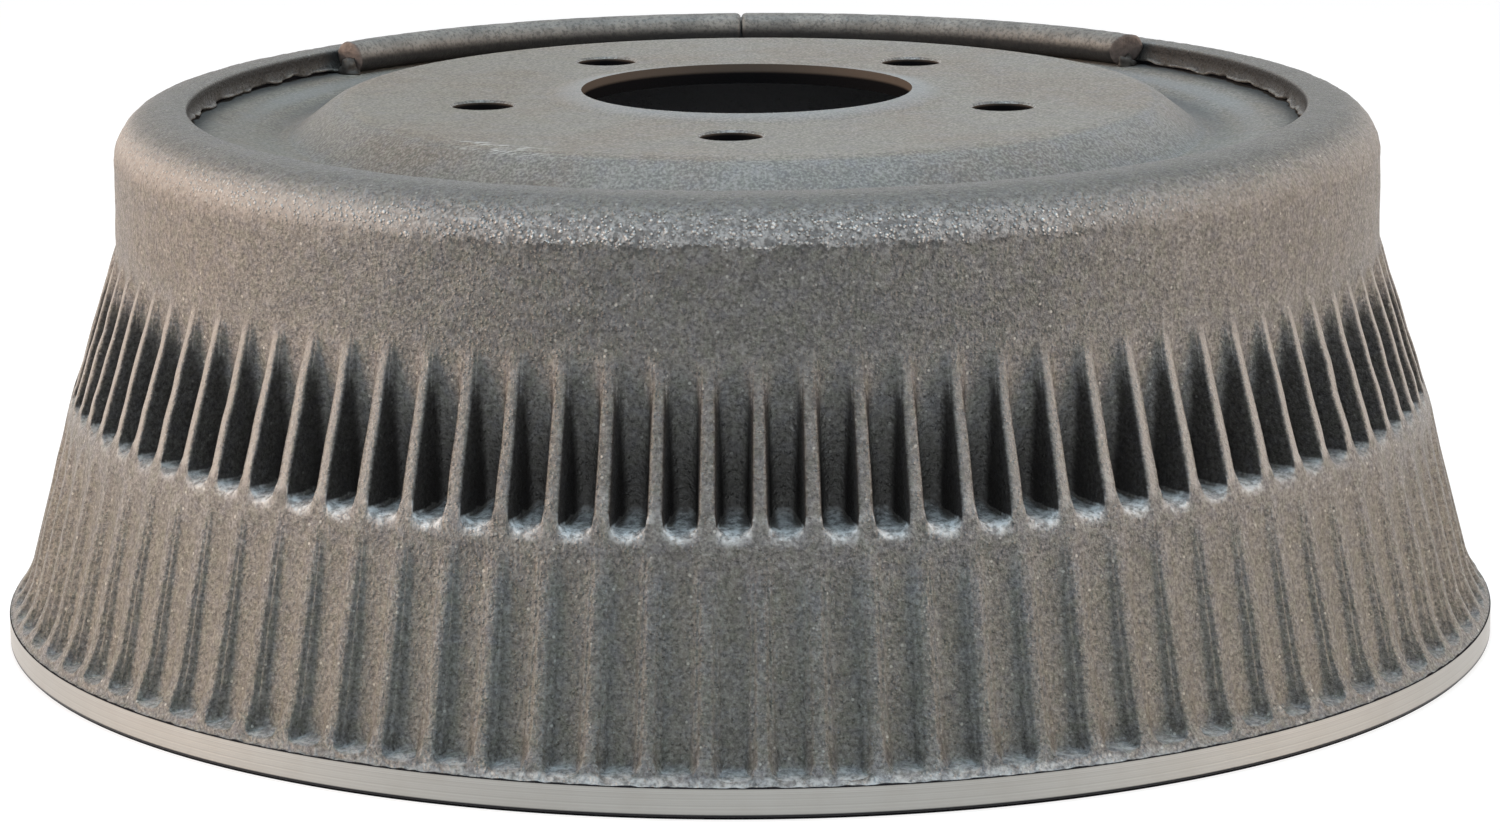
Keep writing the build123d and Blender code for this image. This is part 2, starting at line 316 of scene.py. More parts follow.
# Zones: each is the product of its shares, or the largest of them if LARGEST names it. A share
# follows a value, from and to which value, and is 0 and 1 or as said there; a name alone is
# taken as it is. Radius, height, x, y, sideways and depth are in metres. Aside is 0 in a
# groove's middle and 1 on a crest; upwards and outwards say how far the surface faces so.
LARGEST = {
    "lumps", "pocket_floors", "low_dust", "dusty", "band_or_gap",
    "lines", "hidden", "gloss",
}
FRONTAL = {"frontal": [("x", 0.050, 0.115, 1, 0), ("x", -0.095, -0.030)]}
SOFT_EDGE = ("ragged", 0.1153, 0.1228)
SHARP_EDGE = ("ragged", 0.1187, 0.1192)
IRON_ZONES = {
    # The shoulder and its grains: pale, with a painted sheen towards the sides, painted glints on
    # the grains and a painted shadow under them
    "shoulder": [
        ("edge",), ("x", 0.050, 0.120, 1, 0.28), ("height", 0.1185, 0.1240, 1, 0),
        ("radius", 0.1400, 0.1430),
    ],
    "strew": [("shoulder", 0.0, 0.9, 0.20, 1)],
    "strewn_grit": [("grit",), ("strew",)],
    "shoulder_knobs": [("knobs",), ("shoulder",)],
    "lumps": [("strewn_grit",), ("shoulder_knobs",)],
    "relief": [("lumps",), ("frontal", 0.0, 1.0, 0.40, 1)],
    "patchy": [("patches", 0.38, 0.60, 0.45, 1), ("frontal", 0.0, 1.0, 0.35, 1)],
    "glints": [("lumps", 0.10, 0.45), ("strew",), ("patchy",)],
    "rim_shadow": [
        ("ragged", 0.1172, 0.1185, 0, 0.75), ("ragged", 0.1186, 0.1190, 1, 0),
        ("clumps", 0.44, 0.58), ("frontal",),
    ],
    "shoulder_lumps": [("lumps",), ("shoulder",)],
    # Pale dust on the ledges at the grooves' ends, with a painted cool sheen where they face up,
    # strongest at the front
    "foot_strip": [
        ("height", 0.0080, 0.0090, 0.58, 0), ("y", -0.165, -0.130, 1, 0.05),
        ("x", -0.075, -0.025, 0.25, 1),
    ],
    "cups": [
        ("height", 0.0088, 0.0097, 0.42, 0), ("aside", 0.34, 0.60, 1, 0),
        ("depth", 0.0002, 0.0010), ("y", -0.160, -0.090, 1, 0.30),
    ],
    "spots": [("aside", 0.18, 0.46, 0.62, 0), ("depth", 0.0100, 0.0120, 1, 0)],
    "pocket_floors": [("depth", 0.0020, 0.0050, 1, 0), ("spots",)],
    "low_dust": [("foot_strip",), ("cups",)],
    "high_dust": [("height", 0.050, 0.052), ("pocket_floors",), ("y", -0.145, -0.070, 1, 0.25)],
    "dusty": [("low_dust",), ("high_dust",)],
    "ledges": [("upwards", 0.25, 0.60), ("height", 0.064, 0.068, 1, 0), ("dusty",)],
    "dust": [("ledges",), ("coarse", 0.35, 0.60, 0.30, 1), ("tint", 0.35, 0.55, 0.45, 1)],
    "gloss": [("ledges",), ("shoulder_lumps",)],
    # The grooves' walls, and the crests between them: painted shade on the walls, in the pockets'
    # depths and in the flutes, painted highlights on the crests, and painted warm and cool light
    "squarely": [("outwards",), ("outwards",)],
    # Painted shade on the grooves' walls, where they face sideways
    "walls": [
        ("squarely", 0.05, 0.90, 1, 0), ("height", 0.0535, 0.0570, 0.55, 1),
        ("height", 0.0900, 0.0940, 0.85, 0), ("height", 0.0085, 0.0110),
        ("upwards", 0.35, 0.60, 1, 0), ("radius", 0.1450, 0.1465),
        ("sideways", 0.050, 0.130, 1, 0.80),
    ],
    # Painted shade in the flutes, a little darker and warmer
    "flutes": [
        ("depth", 0.0004, 0.0018), ("height", 0.050, 0.053, 1, 0), ("height", 0.0090, 0.0115),
    ],
    # Painted highlights on the fin crests, strongest towards the sides
    "crests": [
        ("aside", 0.76, 0.92), ("height", 0.0575, 0.0600), ("height", 0.0880, 0.0930, 1, 0),
        ("sideways", 0.020, 0.100, 0.08, 0.62),
    ],
    # Painted cool light on the low crests, away from the sides
    "cool": [
        ("aside", 0.15, 0.55, 0, 0.80), ("height", 0.0450, 0.0500, 1, 0),
        ("sideways", 0.045, 0.100, 1, 0),
    ],
    # Painted shade in the pockets' depths, weaker towards the sides
    "deep": [
        ("sideways", 0.050, 0.130, 1, 0.50), ("depth", 0.0025, 0.0085, 0, 0.80),
        ("height", 0.054, 0.056), ("height", 0.060, 0.086, 1, 0.45),
        ("height", 0.092, 0.094, 1, 0), ("radius", 0.1460, 0.1470),
    ],
    # Painted warm light on the hat's sides
    "bloom": [("sideways", 0.080, 0.135), ("height", 0.090, 0.100)],
    # The rim, the recess and the dark lines: painted shade on the crown, the recess wall dark with
    # its own oxide and painted shade, and dark lines of painted shade along the band's foot and top
    # edge and in the web's gap
    # Painted shade on the crown, half way to dark at its top
    "crown": [("height", 0.1215, 0.1245, 0, 0.50)],
    # The recess wall, nearly black: partly its own dark oxide, partly painted shade
    "recess_wall": [
        ("radius", 0.1313, 0.1317, 1, 0), ("height", 0.1200, 0.1238, 0.72, 0.98),
        ("y", 0.0, 0.07, 0.92, 1), ("height", 0.1170, 0.1180),
    ],
    "flash": [("radius", 0.1306, 0.1311, 0.48, 0), ("height", 0.1185, 0.1190)],
    "enclosed": [("radius", 0.1420, 0.1430, 0.9, 0), ("height", 0.1100, 0.1106, 1, 0)],
    # Painted contact shadow on the band's bottom edge
    "underside": [("height", 0.0006, 0.0008, 1, 0)],
    # Painted shade along the top of the band, under the cast edge
    "band_line": [("radius", 0.1760, 0.1762), ("height", 0.0060, 0.0065)],
    # Painted shade in the gap round the web's edge
    "web_gap": [
        ("radius", 0.13135, 0.13145), ("radius", 0.1325, 0.1330, 1, 0),
        ("height", 0.1188, 0.1190), ("height", 0.1206, 0.1210, 1, 0),
    ],
    "band_or_gap": [("band_line",), ("web_gap",)],
    "lines": [("underside",), ("band_or_gap",)],
}
MACHINED_ZONES = {
    # Painted contact shadow along the band's bottom edge
    "foot": [("height", 0.0010, 0.0014, 1, 0), ("radius", 0.1750, 0.1755)],
}
BEHIND = ("y", -0.03, 0.05)
NEAR_AXIS = ("radius", 0.074, 0.076, 1, 0)
WEB_ZONES = {
    # Level faces tinted warmer, a painted tint that takes back the cool light from above
    "level": [("upwards", 0.93, 0.985)],
    # A painted bluish highlight on the outer slope of the pilot lip
    "pilot_lip": [
        ("radius", 0.0400, 0.0475, 1, 0), ("upwards", 0.985, 0.997, 1, 0),
        ("outwards", 0.02, 0.08),
    ],
    # Painted shade in the trough at the slope's foot, behind the hub
    "trough": [BEHIND, ("radius", 0.1030, 0.1075), ("radius", 0.1105, 0.1155, 0.80, 0)],
    # A painted streak of light across the seat, behind the hub
    "streak": [BEHIND, ("radius", 0.1150, 0.1185), ("radius", 0.1200, 0.1235, 0.50, 0)],
    # The web's left side painted darker, as shade
    "left": [("x", -0.075, -0.005, 1, 0)],
    # Painted shade on the seat towards the recess wall
    "foot": [("radius", 0.1235, 0.1305, 0, 0.88)],
    # The walls of the holes and bore, painted dark as shade
    "inside": [NEAR_AXIS, ("levelness", 0.30, 0.60, 1, 0)],
    # Downward faces painted darker, as shade
    "below": [("upwards", -0.4, -0.1, 0.7, 0)],
    "worn": [
        ("scratches", 0.52, 0.62), ("x", -0.066, -0.056), ("x", -0.046, -0.030, 1, 0),
        ("y", -0.060, -0.050, 1, 0), ("radius", 0.090, 0.0925), ("radius", 0.0955, 0.098, 1, 0),
    ],
    "hole_edges": [NEAR_AXIS, ("upwards", 0.40, 0.60), ("upwards", 0.80, 0.92, 1, 0)],
    "hidden": [("inside",), ("foot",), ("below",)],
}

# Coats over the layers, in order: the zone, its colour, and the strength and blend if not 1 and MIX
SHOULDER_COAT = 0.88
IRON_COATS = [
    # Painted glints on the shoulder's grains, and the painted shadow under them
    ("glints", (1.0, 1.0, 0.99)),
    ("rim_shadow", (0.030, 0.030, 0.031)),
    # Painted shade in the flutes
    ("flutes", (0.062, 0.061, 0.053), 0.14),
    ("flutes", (1.01, 1.0, 0.95), 1, "MULTIPLY"),
    # Painted warm light on the hat's sides
    ("bloom", (1.0, 0.955, 0.915), 1, "MULTIPLY"),
    # Painted highlights on the fin crests
    ("crests", (0.40, 0.385, 0.365)),
    # Painted cool light on the low crests
    ("cool", (0.93, 0.995, 1.055), 1, "MULTIPLY"),
    # Painted shade in the pockets and on the grooves' walls
    ("deep", (0.037, 0.034, 0.032)),
    ("walls", (0.024, 0.022, 0.022)),
    # Painted shade on the crown
    ("crown", (0.070, 0.067, 0.060)),
    # The recess wall's own dark oxide and painted shade
    ("recess", (0.026, 0.026, 0.026)),
    ("enclosed", (0.240, 0.234, 0.245)),
    # Pale dust and a painted sheen on the ledges
    ("dust", (0.66, 0.69, 0.71)),
    # Dark lines of painted shade
    ("lines", (0.016, 0.016, 0.019)),
]
# Painted contact shadow along the band's bottom edge
MACHINED_COATS = [("foot", (0.012, 0.012, 0.014))]
WEB_COATS = [
    # Painted warm tint on level faces
    ("level", (1.05, 0.985, 0.91), 1, "MULTIPLY"),
    # Painted highlight on the pilot lip
    ("pilot_lip", (0.32, 0.34, 0.36), 0.55),
    # Painted shade in the trough
    ("trough", (0.080, 0.081, 0.083)),
    # Painted streak of light on the seat
    ("streak", (0.30, 0.305, 0.31)),
    # Painted shade on the web's left side
    ("left", (0.84, 0.83, 0.80), 1, "MULTIPLY"),
    # Painted shade on the seat at the wall's foot
    ("foot", (0.055, 0.056, 0.057)),
]
# The web's downward faces painted darker as shade, and its worn scratches
WEB_TOP_COATS = [("below", (0.060, 0.058, 0.055)), ("worn", (0.50, 0.50, 0.48), 0.7)]

# Relief in the light: what it follows, its height in metres and its strength
IRON_BUMPS = [
    ("coarse", 0.0006, 0.5), ("grain", 0.00045, 0.8),
    ("fine", 0.00014, 0.6), ("relief", 0.0012, 1.0),
]
MACHINED_BUMPS = [("lines", 0.00003, 1.0)]
WEB_BUMPS = [("grain", 0.0003, 0.6), ("mottle", 0.0004, 0.4)]

# Roughness and reflections: what they follow, or how much they change
IRON_ROUGHNESS = ("fine", 0.40, 0.72, 0.54, 0.32)
IRON_GLOSS = -0.18
RECESS_DULLNESS = 0.6
IRON_SPECULAR = (0.0, 1.0, 0.35, 0.0)
WEB_ROUGHNESS = ("mottle", 0.3, 0.7, 0.46, 0.56)
HOLE_EDGE_GLOSS = -0.25
WEB_SPECULAR = ("hidden", 0.0, 1.0, 0.20, 0)

# Metals without zones: their noises, tones, layers, reliefs and the shader's other settings
ROD_STEEL = {
    "name": "rod_steel",
    "noises": {"mottle": (0.006, 5), "grain": (0.0009, 3), "scale": (0.0012,)},
    "tones": ("mottle", 0.3, 0.7, (0.140, 0.136, 0.127), (0.235, 0.225, 0.206)),
    "layers": [
        ("grain", 0.35, 0.55, 0.6, 0, (0.045, 0.044, 0.044)),
        # The bar's lower half painted nearly black, as shade
        ("height", seat_height + 0.0030, seat_height + 0.0060, 0.93, 0, (0.012, 0.012, 0.013)),
    ],
    "bumps": [("scale", 0.0003, 0.6), ("grain", 0.0002, 0.6)],
    "settings": {"Specular IOR Level": 0.30, "Roughness": 0.5},
}
SHEARED_STEEL = {
    "name": "sheared_steel",
    "noises": {"mottle": (0.0018, 5)},
    "tones": ("mottle", 0.3, 0.7, (0.085, 0.068, 0.062), (0.160, 0.130, 0.118)),
    "bumps": [("mottle", 0.0006, 0.7)],
    "settings": {"Metallic": 0.1, "Roughness": 0.6},
}
WELD_METAL = {
    "name": "weld_metal",
    "noises": {"mottle": (0.002, 4)},
    "tones": ("mottle", 0.3, 0.7, (0.030, 0.028, 0.026), (0.090, 0.082, 0.074)),
    "bumps": [("mottle", 0.0005, 0.6)],
    "settings": {"Specular IOR Level": 0.15, "Roughness": 0.55},
}

# Lights: name, place, width, power in watts and colour
LIGHTS = [
    ("left_light", (-1.50, -0.12, 0.42), 0.8, 25, (1.0, 0.72, 0.535)),
    ("right_light", (1.50, -0.10, 0.34), 0.8, 17.5, (1.0, 0.745, 0.57)),
    ("front_left_light", (-1.35, -0.75, 0.45), 0.7, 5.5, (0.90, 0.97, 1.0)),
    ("front_right_light", (1.35, -0.75, 0.45), 0.7, 5, (0.90, 0.97, 1.0)),
    ("front_light", (0.10, -1.60, 0.60), 0.6, 5.5, (0.88, 0.96, 1.0)),
    ("top_light", (0.0, 0.10, 1.50), 0.6, 15.3, (0.67, 0.865, 1.0)),
]
FLOOR_SIZE = 12
FLOOR_DROP = 0.00005
FLOOR_GLOW = 0.80
FLOOR_GREY = (0.25, 0.25, 0.25)
WORLD_GREY = (0.09, 0.095, 0.10)

# Camera: its place before the view's turn about the drum's axis, and its own turns
VIEW_TURN = math.radians(3.1)
CAMERA_PLACE = (0.001998, -1.21634, 0.3103)
CAMERA_YAW = -0.00143
CAMERA_PITCH = 0.21229
CAMERA_ROLL = -0.00678
LENS = 125.06
SENSOR_WIDTH = 36


def waves(points, length, seed, count=28):
    """Smooth seeded noise about 1 high, the same at a place whichever ring asks."""
    chance = np.random.default_rng(SEED + seed)
    turns = chance.normal(size=(count, 3))
    turns /= np.linalg.norm(turns, axis=1)[:, None]
    turns *= 2 * math.pi / length * chance.uniform(0.6, 1.6, (count, 1))
    phases = chance.uniform(0, 2 * math.pi, count)
    return np.sin(points @ turns.T + phases).sum(axis=1) / math.sqrt(count / 2)


def layered(points, layers, start=0.0, seed=0):
    """Several waves over one another, added to start."""
    return sum((size * waves(points, length, seed + own) for size, length, own in layers), start)


def roughened(points, length=SKIN_WAVE_LENGTH, seed=SKIN_SEED):
    """The points, moved in or out from the axis by the casting's waves."""
    flat = points * (1, 1, 0)
    outwards = flat / np.linalg.norm(flat, axis=1)[:, None]
    return points + outwards * (waves(points, length, seed) * SKIN_WAVE)[:, None]


def around(angles, radii, heights):
    """Points from cylinder coordinates, one row each."""
    radii, heights = np.broadcast_arrays(radii, heights, subok=True)
    radii = np.broadcast_to(radii, angles.shape)
    heights = np.broadcast_to(heights, angles.shape)
    return np.stack([radii * np.cos(angles), radii * np.sin(angles), heights], axis=-1)


def even_angles(columns):
    """Evenly spaced angles, the first on the first fin's crest."""
    return FIRST_FIN_ANGLE + np.arange(columns) * 2 * math.pi / columns


def faces_of(*corners):
    """A face for each place in the lists of corners."""
    return np.stack(corners, axis=1).tolist()


class Skin:
    """A closed surface lofted through rings of points round the axis."""

    def __init__(self):
        self.points = []
        self.faces = []
        self.paints = []
        self.sharp = []
        self.total = 0
        self.first = None
        self.last = None

    def ring(self, points, paint=0, sharp=False):
        """Adds a ring and joins it to the last one with faces of that paint."""
        indices = np.arange(len(points)) + self.total
        self.points.append(points)
        self.total += len(points)
        if self.last is None:
            self.first = indices
        else:
            self.join(self.last, indices, paint)
        if sharp:
            self.sharp.append(indices)
        self.last = indices

    def close(self, paint=0):
        """Joins the last ring to the first."""
        self.join(self.last, self.first, paint)

    def cap(self, paint=0):
        """Closes both ends with a face each."""
        self.faces += [self.first.tolist(), self.last[::-1].tolist()]
        self.paints += [paint, paint]

    def join(self, upper, lower, paint):
        """Faces between two rings of equal count, or of which one has double."""
        if len(upper) == len(lower):
            made = faces_of(upper, lower, np.roll(lower, -1), np.roll(upper, -1))
        elif len(upper) == 2 * len(lower):
            start, middle, end = upper[::2], upper[1::2], np.roll(upper[::2], -1)
            after = np.roll(lower, -1)
            made = faces_of(start, lower, middle) + faces_of(middle, lower, after)
            made += faces_of(middle, after, end)
        else:
            start, middle, end = lower[::2], lower[1::2], np.roll(lower[::2], -1)
            after = np.roll(upper, -1)
            made = faces_of(upper, start, middle) + faces_of(upper, middle, after)
            made += faces_of(after, middle, end)
        self.faces += made
        self.paints += [paint] * len(made)

    def build(self, name, materials):
        """The Blender object, smooth but for its sharp rings."""
        mesh = bpy.data.meshes.new(name)
        mesh.from_pydata(np.concatenate(self.points).tolist(), [], self.faces)
        mesh.polygons.foreach_set("material_index", np.array(self.paints, np.int32))
        mesh.shade_smooth()
        if self.sharp:
            corners = np.zeros(len(mesh.edges) * 2, np.int32)
            mesh.edges.foreach_get("vertices", corners)
            on_ring = np.zeros(len(mesh.vertices), np.int32)
            for number, indices in enumerate(self.sharp, start=1):
                on_ring[indices] = number
            ends = on_ring[corners.reshape(-1, 2)]
            flags = (ends[:, 0] > 0) & (ends[:, 0] == ends[:, 1])
            sharp = mesh.attributes.new("sharp_edge", "BOOLEAN", "EDGE")
            sharp.data.foreach_set("value", flags)
        mesh.validate()
        made = bpy.data.objects.new(name, mesh)
        for material in materials:
            mesh.materials.append(material)
        bpy.context.scene.collection.objects.link(made)
        return made


def unlike(chance, spread):
    """A random amount for every fin pitch, up to spread either way."""
    return chance.uniform(-1, 1, FIN_COUNT)[:, None] * spread


class Groove:
    """A row of like grooves, one a fin pitch: how wide, how deep and how they end."""

    def __init__(self, half_width, draft, edge_round, floor_round, end_round, seed):
        chance = np.random.default_rng(SEED + seed)
        self.half_width = half_width + unlike(chance, WIDTH_SPREAD)
        self.shift = unlike(chance, SHIFT_SPREAD)
        self.drop = unlike(chance, DROP_SPREAD)
        self.draft = draft
        self.edge_round = edge_round
        self.floor_round = floor_round
        self.end_round = end_round

    def sides(self, radius, depth):
        """Each column's distance from the groove's middle, for every fin pitch."""
        width = self.half_width
        half_pitch = np.full_like(width, math.pi / FIN_COUNT * radius)
        crest = half_pitch - CREST_KEPT
        edge, floor = self.edge_round, self.floor_round
        foot = width - LEAST_WALL - self.draft * depth[:, [GROOVE_MIDDLE]]
        half = np.concatenate(
            [
                np.minimum(width + edge, crest),
                np.minimum(width + ARC_MIDDLE * edge, crest - CREST_KEPT / 2),
                width,
                (width + foot) / 2,
                foot,
                foot - ARC_MIDDLE * floor,
                foot - floor,
            ],
            axis=1,
        )
        middle = np.zeros_like(width)
        return np.concatenate([-half_pitch, -half, middle, half[:, ::-1]], axis=1)

    def depths(self, depth):
        """Each column's depth where the groove's middle is that deep."""
        share = np.clip(depth / (self.edge_round + self.floor_round), 0, 1)
        edge, floor = self.edge_round * share, self.floor_round * share
        none = np.zeros_like(depth)
        steps = [
            none,
            none,
            ARC_MIDDLE * edge,
            edge,
            (edge + depth - floor) / 2,
            depth - floor,
            depth - ARC_MIDDLE * floor,
            depth,
            depth,
        ]
        order = [*range(GROOVE_MIDDLE + 1), *range(GROOVE_MIDDLE - 1, 0, -1)]
        return np.stack([steps[kind][:, place] for place, kind in enumerate(order)], axis=1)

    def ends(self, lowest, depth, depth_share):
        """Heights round the groove's end: a dish at its lip and a dome at its full depth."""
        depth = np.full((FIN_COUNT, GROOVE_COLUMNS), depth)
        across = np.abs(self.sides(SKIRT_TOP_RADIUS, depth)) / self.half_width
        aside = np.abs(np.arange(GROOVE_COLUMNS) - GROOVE_MIDDLE)
        middle = np.clip((DOME_COLUMNS - aside) / DOME_FADE_COLUMNS, 0, 1)
        bend = 1 - DOME_BEND * depth_share * middle
        fall = np.sqrt(1 - np.clip(across, 0, 1) ** END_ROUND_POWER)
        return lowest + self.end_round * bend * (1 - fall) + self.drop

    def points(self, heights, depth):
        """A ring of points on the skirt, cut back by the groove."""
        heights = np.broadcast_to(heights, (FIN_COUNT, GROOVE_COLUMNS))
        depth = np.broadcast_to(depth, heights.shape)
        surface = skirt_radius(heights)
        sides = self.sides(float(surface.mean()), depth)
        sides[:, 1:] += self.shift
        radii = surface - self.depths(depth)
        middles = FIRST_FIN_ANGLE + (np.arange(FIN_COUNT) + 0.5) * 2 * math.pi / FIN_COUNT
        angles = middles[:, None] + sides / surface
        ring = around(angles.ravel(), radii.ravel(), heights.ravel())
        return roughened(ring)


def skirt_radius(heights):
    """The outside of the fins and of the skirt, without grooves."""
    places = [SKIRT_BOTTOM_HEIGHT, SKIRT_TOP_HEIGHT, FIN_TOP_HEIGHT, rim_height]
    radii = [SKIRT_BOTTOM_RADIUS, SKIRT_TOP_RADIUS, HAT_RADIUS, HAT_RADIUS]
    return np.interp(heights, places, radii) + foot_flare(heights)


def foot_flare(heights):
    """How far the fins' feet run out towards the band."""
    share = (FOOT_FLARE_HEIGHT - heights) / (FOOT_FLARE_HEIGHT - SKIRT_BOTTOM_HEIGHT)
    return FOOT_FLARE * np.clip(share, 0, 1) ** FOOT_FLARE_POWER


def pocket_depth(heights):
    """Depth of the pockets' drafted floor under the skirt's surface."""
    lean = math.tan(POCKET_FLOOR_DRAFT)
    floor = POCKET_FLOOR_RADIUS + (heights - POCKET_FLOOR_HEIGHT) * lean
    return np.maximum(skirt_radius(heights) - floor, 0)


def flute_depth(heights):
    """Depth of the flutes, which start from nothing and run straight on under the flare."""
    share = (FLUTE_TOP_HEIGHT - heights) / (FLUTE_TOP_HEIGHT - FLUTE_FLOOR_HEIGHT)
    return FLUTE_DEPTH * np.clip(share, 0, 1) ** FLUTE_DEPTH_POWER + foot_flare(heights)


def add_groove_rings(skin, groove, lip, floor, depth_at, straight_heights):
    """Rings down a groove: its straight part, its round end and its ledge."""
    for height in straight_heights:
        skin.ring(groove.points(height, depth_at(height)))
    full_depth = depth_at(floor)
    end = groove.ends(lip + (floor - lip) * LEDGE_PROFILE[0][1], full_depth, 1.0)
    for share in END_RING_SHARES:
        heights = end * (1 - share) + straight_heights[-1] * share
        skin.ring(groove.points(heights, depth_at(heights)))
    for depth_share, rise_share in LEDGE_PROFILE:
        depth = full_depth * depth_share
        heights = groove.ends(lip + (floor - lip) * rise_share, depth, depth_share)
        skin.ring(groove.points(heights, depth))


def add_outside(skin):
    """The hat's wall, the fins and the skirt, from under the shoulder down."""
    medium = even_angles(MEDIUM_COLUMNS)
    for height in HAT_RINGS:
        skin.ring(roughened(around(medium, HAT_RADIUS, height)))
    fine = even_angles(FINE_COLUMNS)
    skin.ring(roughened(around(fine, HAT_RADIUS, HAT_BOTTOM_RING)))
    grooves = [
        (POCKET_SHAPE, POCKET_LIP_HEIGHT, POCKET_FLOOR_HEIGHT, pocket_depth, POCKET_RINGS),
        (FLUTE_SHAPE, FLUTE_LIP_HEIGHT, FLUTE_FLOOR_HEIGHT, flute_depth, FLUTE_RINGS),
    ]
    for shape, *run in grooves:
        add_groove_rings(skin, Groove(**shape), *run)


def add_band(skin):
    """The ragged ledge, the machined band and the open face."""
    fine = even_angles(FINE_COLUMNS)
    for radius, height, share in LEDGE_STEPS:
        ring = around(fine, radius, height)
        bumps = np.clip(layered(ring, LEDGE_WAVES), *LEDGE_BUMP_LIMITS)
        ring[:, 2] += bumps * RAGGED_LEDGE * share
        skin.ring(ring)
    skin.ring(around(fine, band_radius, BAND_HEIGHT), sharp=True)
    skin.ring(around(fine, band_radius, BAND_HEIGHT / 2), paint=MACHINED)
    skin.ring(around(fine, band_radius, BAND_EDGE_BREAK), paint=MACHINED, sharp=True)
    skin.ring(around(fine, band_radius - BAND_EDGE_BREAK, 0.0), sharp=True)
    medium = even_angles(MEDIUM_COLUMNS)
    skin.ring(around(medium, band_radius - FACE_RING_INSET, 0.0), paint=MACHINED)
    coarse = even_angles(COARSE_COLUMNS)
    skin.ring(around(coarse, band_radius - FACE_INNER_RING_INSET, 0.0), paint=MACHINED)


def add_inside(skin):
    """The friction surface, the hidden walls above it and the web's slot."""
    coarse = even_angles(COARSE_COLUMNS)
    skin.ring(around(coarse, friction_radius + MOUTH_CHAMFER, 0.0), paint=MACHINED, sharp=True)
    for height in (MOUTH_CHAMFER, *FRICTION_RINGS, FRICTION_TOP_HEIGHT):
        skin.ring(around(coarse, friction_radius, height), paint=MACHINED, sharp=True)
    cast = [(HAT_BORE_RADIUS, height) for height in (FRICTION_SHOULDER_HEIGHT, *HAT_BORE_RINGS)]
    for radius, height in cast + [(RIM_INNER_RADIUS, WEB_LIP_BOTTOM)]:
        ring = around(coarse, radius, height)
        skin.ring(roughened(ring, INSIDE_WAVE_LENGTH, INSIDE_SEED))
    slot = [
        (RIM_INNER_RADIUS, seat_height - web_thickness),
        (web_outer_radius, seat_height - web_thickness),
        (web_outer_radius, seat_height),
    ]
    for radius, height in slot:
        skin.ring(around(coarse, radius, height), sharp=True)


def add_flash(skin, angles):
    """The thin ragged flash at the foot of the recess wall."""
    skin.ring(around(angles, RIM_INNER_RADIUS + FLASH_SEAT_INSET, seat_height), sharp=True)
    edge = around(angles, RIM_INNER_RADIUS, seat_height)
    reach = layered(edge, FLASH_REACH_WAVES, FLASH_SHARE)
    reach = np.clip(reach, LEAST_FLASH, 1) * FLASH_REACH
    height = seat_height + FLASH_LIFT + layered(edge, FLASH_DROOP_WAVES)
    skin.ring(around(angles, RIM_INNER_RADIUS + FLASH_ROOT_INSET, height - FLASH_ROOT_DROP))
    skin.ring(around(angles, RIM_INNER_RADIUS - reach, height))
    bulge = RIM_INNER_RADIUS - reach * FLASH_BULGE
    skin.ring(around(angles, bulge, height + FLASH_HEIGHT / 2))
    skin.ring(around(angles, RIM_INNER_RADIUS - FLASH_TOP_REACH, height + FLASH_HEIGHT))


def add_rim(skin):
    """The recess wall, its broken edge and the crown."""
    medium = even_angles(MEDIUM_COLUMNS)
    add_flash(skin, medium)
    wall_top = rim_height - RIM_INNER_BREAK
    skin.ring(around(medium, RIM_INNER_RADIUS, wall_top - RIM_WALL_RING_DROP))
    skin.ring(around(medium, RIM_INNER_RADIUS, wall_top))
    quarter = RIM_INNER_BREAK * RIM_BREAK_MIDDLE
    skin.ring(around(medium, RIM_INNER_RADIUS + quarter, rim_height - quarter))
    crown = around(medium, RIM_INNER_RADIUS + RIM_INNER_BREAK, rim_height)
    crown[:, 2] -= SKIN_WAVE * (1 + np.clip(layered(crown, CROWN_WAVES), -1, 1)) / 2
    skin.ring(crown)


def ridge(ring):
    """How far the skin stands proud above the ragged line round the shoulder's foot."""
    line = layered(ring * (1, 1, 0), RIDGE_LINE_WAVES, RIDGE_HEIGHT)
    share = np.clip((ring[:, 2] - line) / RIDGE_RISE, 0, 1)
    lumps = np.clip(layered(ring, RIDGE_LUMP_WAVES), 0, 1.5) * np.clip(1.2 - share * 0.4, 0, 1)
    seen = np.clip(-ring[:, 1] / RIDGE_SIDE_FADE, RIDGE_SIDE_LEAST, 1)
    return RIDGE_PROUD * seen * (share + RIDGE_LUMPS * lumps)


def shoulder_ring(angles, lean):
    """A ring of the shoulder, where its surface leans that far up from the hat's wall."""
    radius = HAT_RADIUS - SHOULDER_RADIUS + SHOULDER_RADIUS * math.cos(lean)
    height = rim_height - SHOULDER_RADIUS + SHOULDER_RADIUS * math.sin(lean)
    ring = around(angles, radius, height)
    rough = layered(ring, SHOULDER_WAVES)
    sink = np.clip(0.5 - rough / 3, 0, 1.2) * SKIN_WAVE * SHOULDER_SINK
    push = around(angles, math.cos(lean), math.sin(lean))
    lift = ridge(ring) * math.cos(lean) ** 2
    return ring + push * (lift - sink)[:, None]


def add_shoulder(skin):
    """The round shoulder, strewn with coarse grains down to a ragged ridge."""
    medium = even_angles(MEDIUM_COLUMNS)
    for turn in COARSE_SHOULDER_TURNS:
        skin.ring(shoulder_ring(medium, math.radians(turn)))
    fine = even_angles(FINE_COLUMNS)
    for turn in FINE_SHOULDER_TURNS:
        skin.ring(shoulder_ring(fine, math.radians(turn)))
    skin.ring(roughened(around(fine, HAT_RADIUS, HAT_TOP_RING)))


def round_bar(direction):
    """Turns round a bar's section, so that its faces look out whichever way it runs."""
    return np.arange(ROD_COLUMNS) * -direction * 2 * math.pi / ROD_COLUMNS


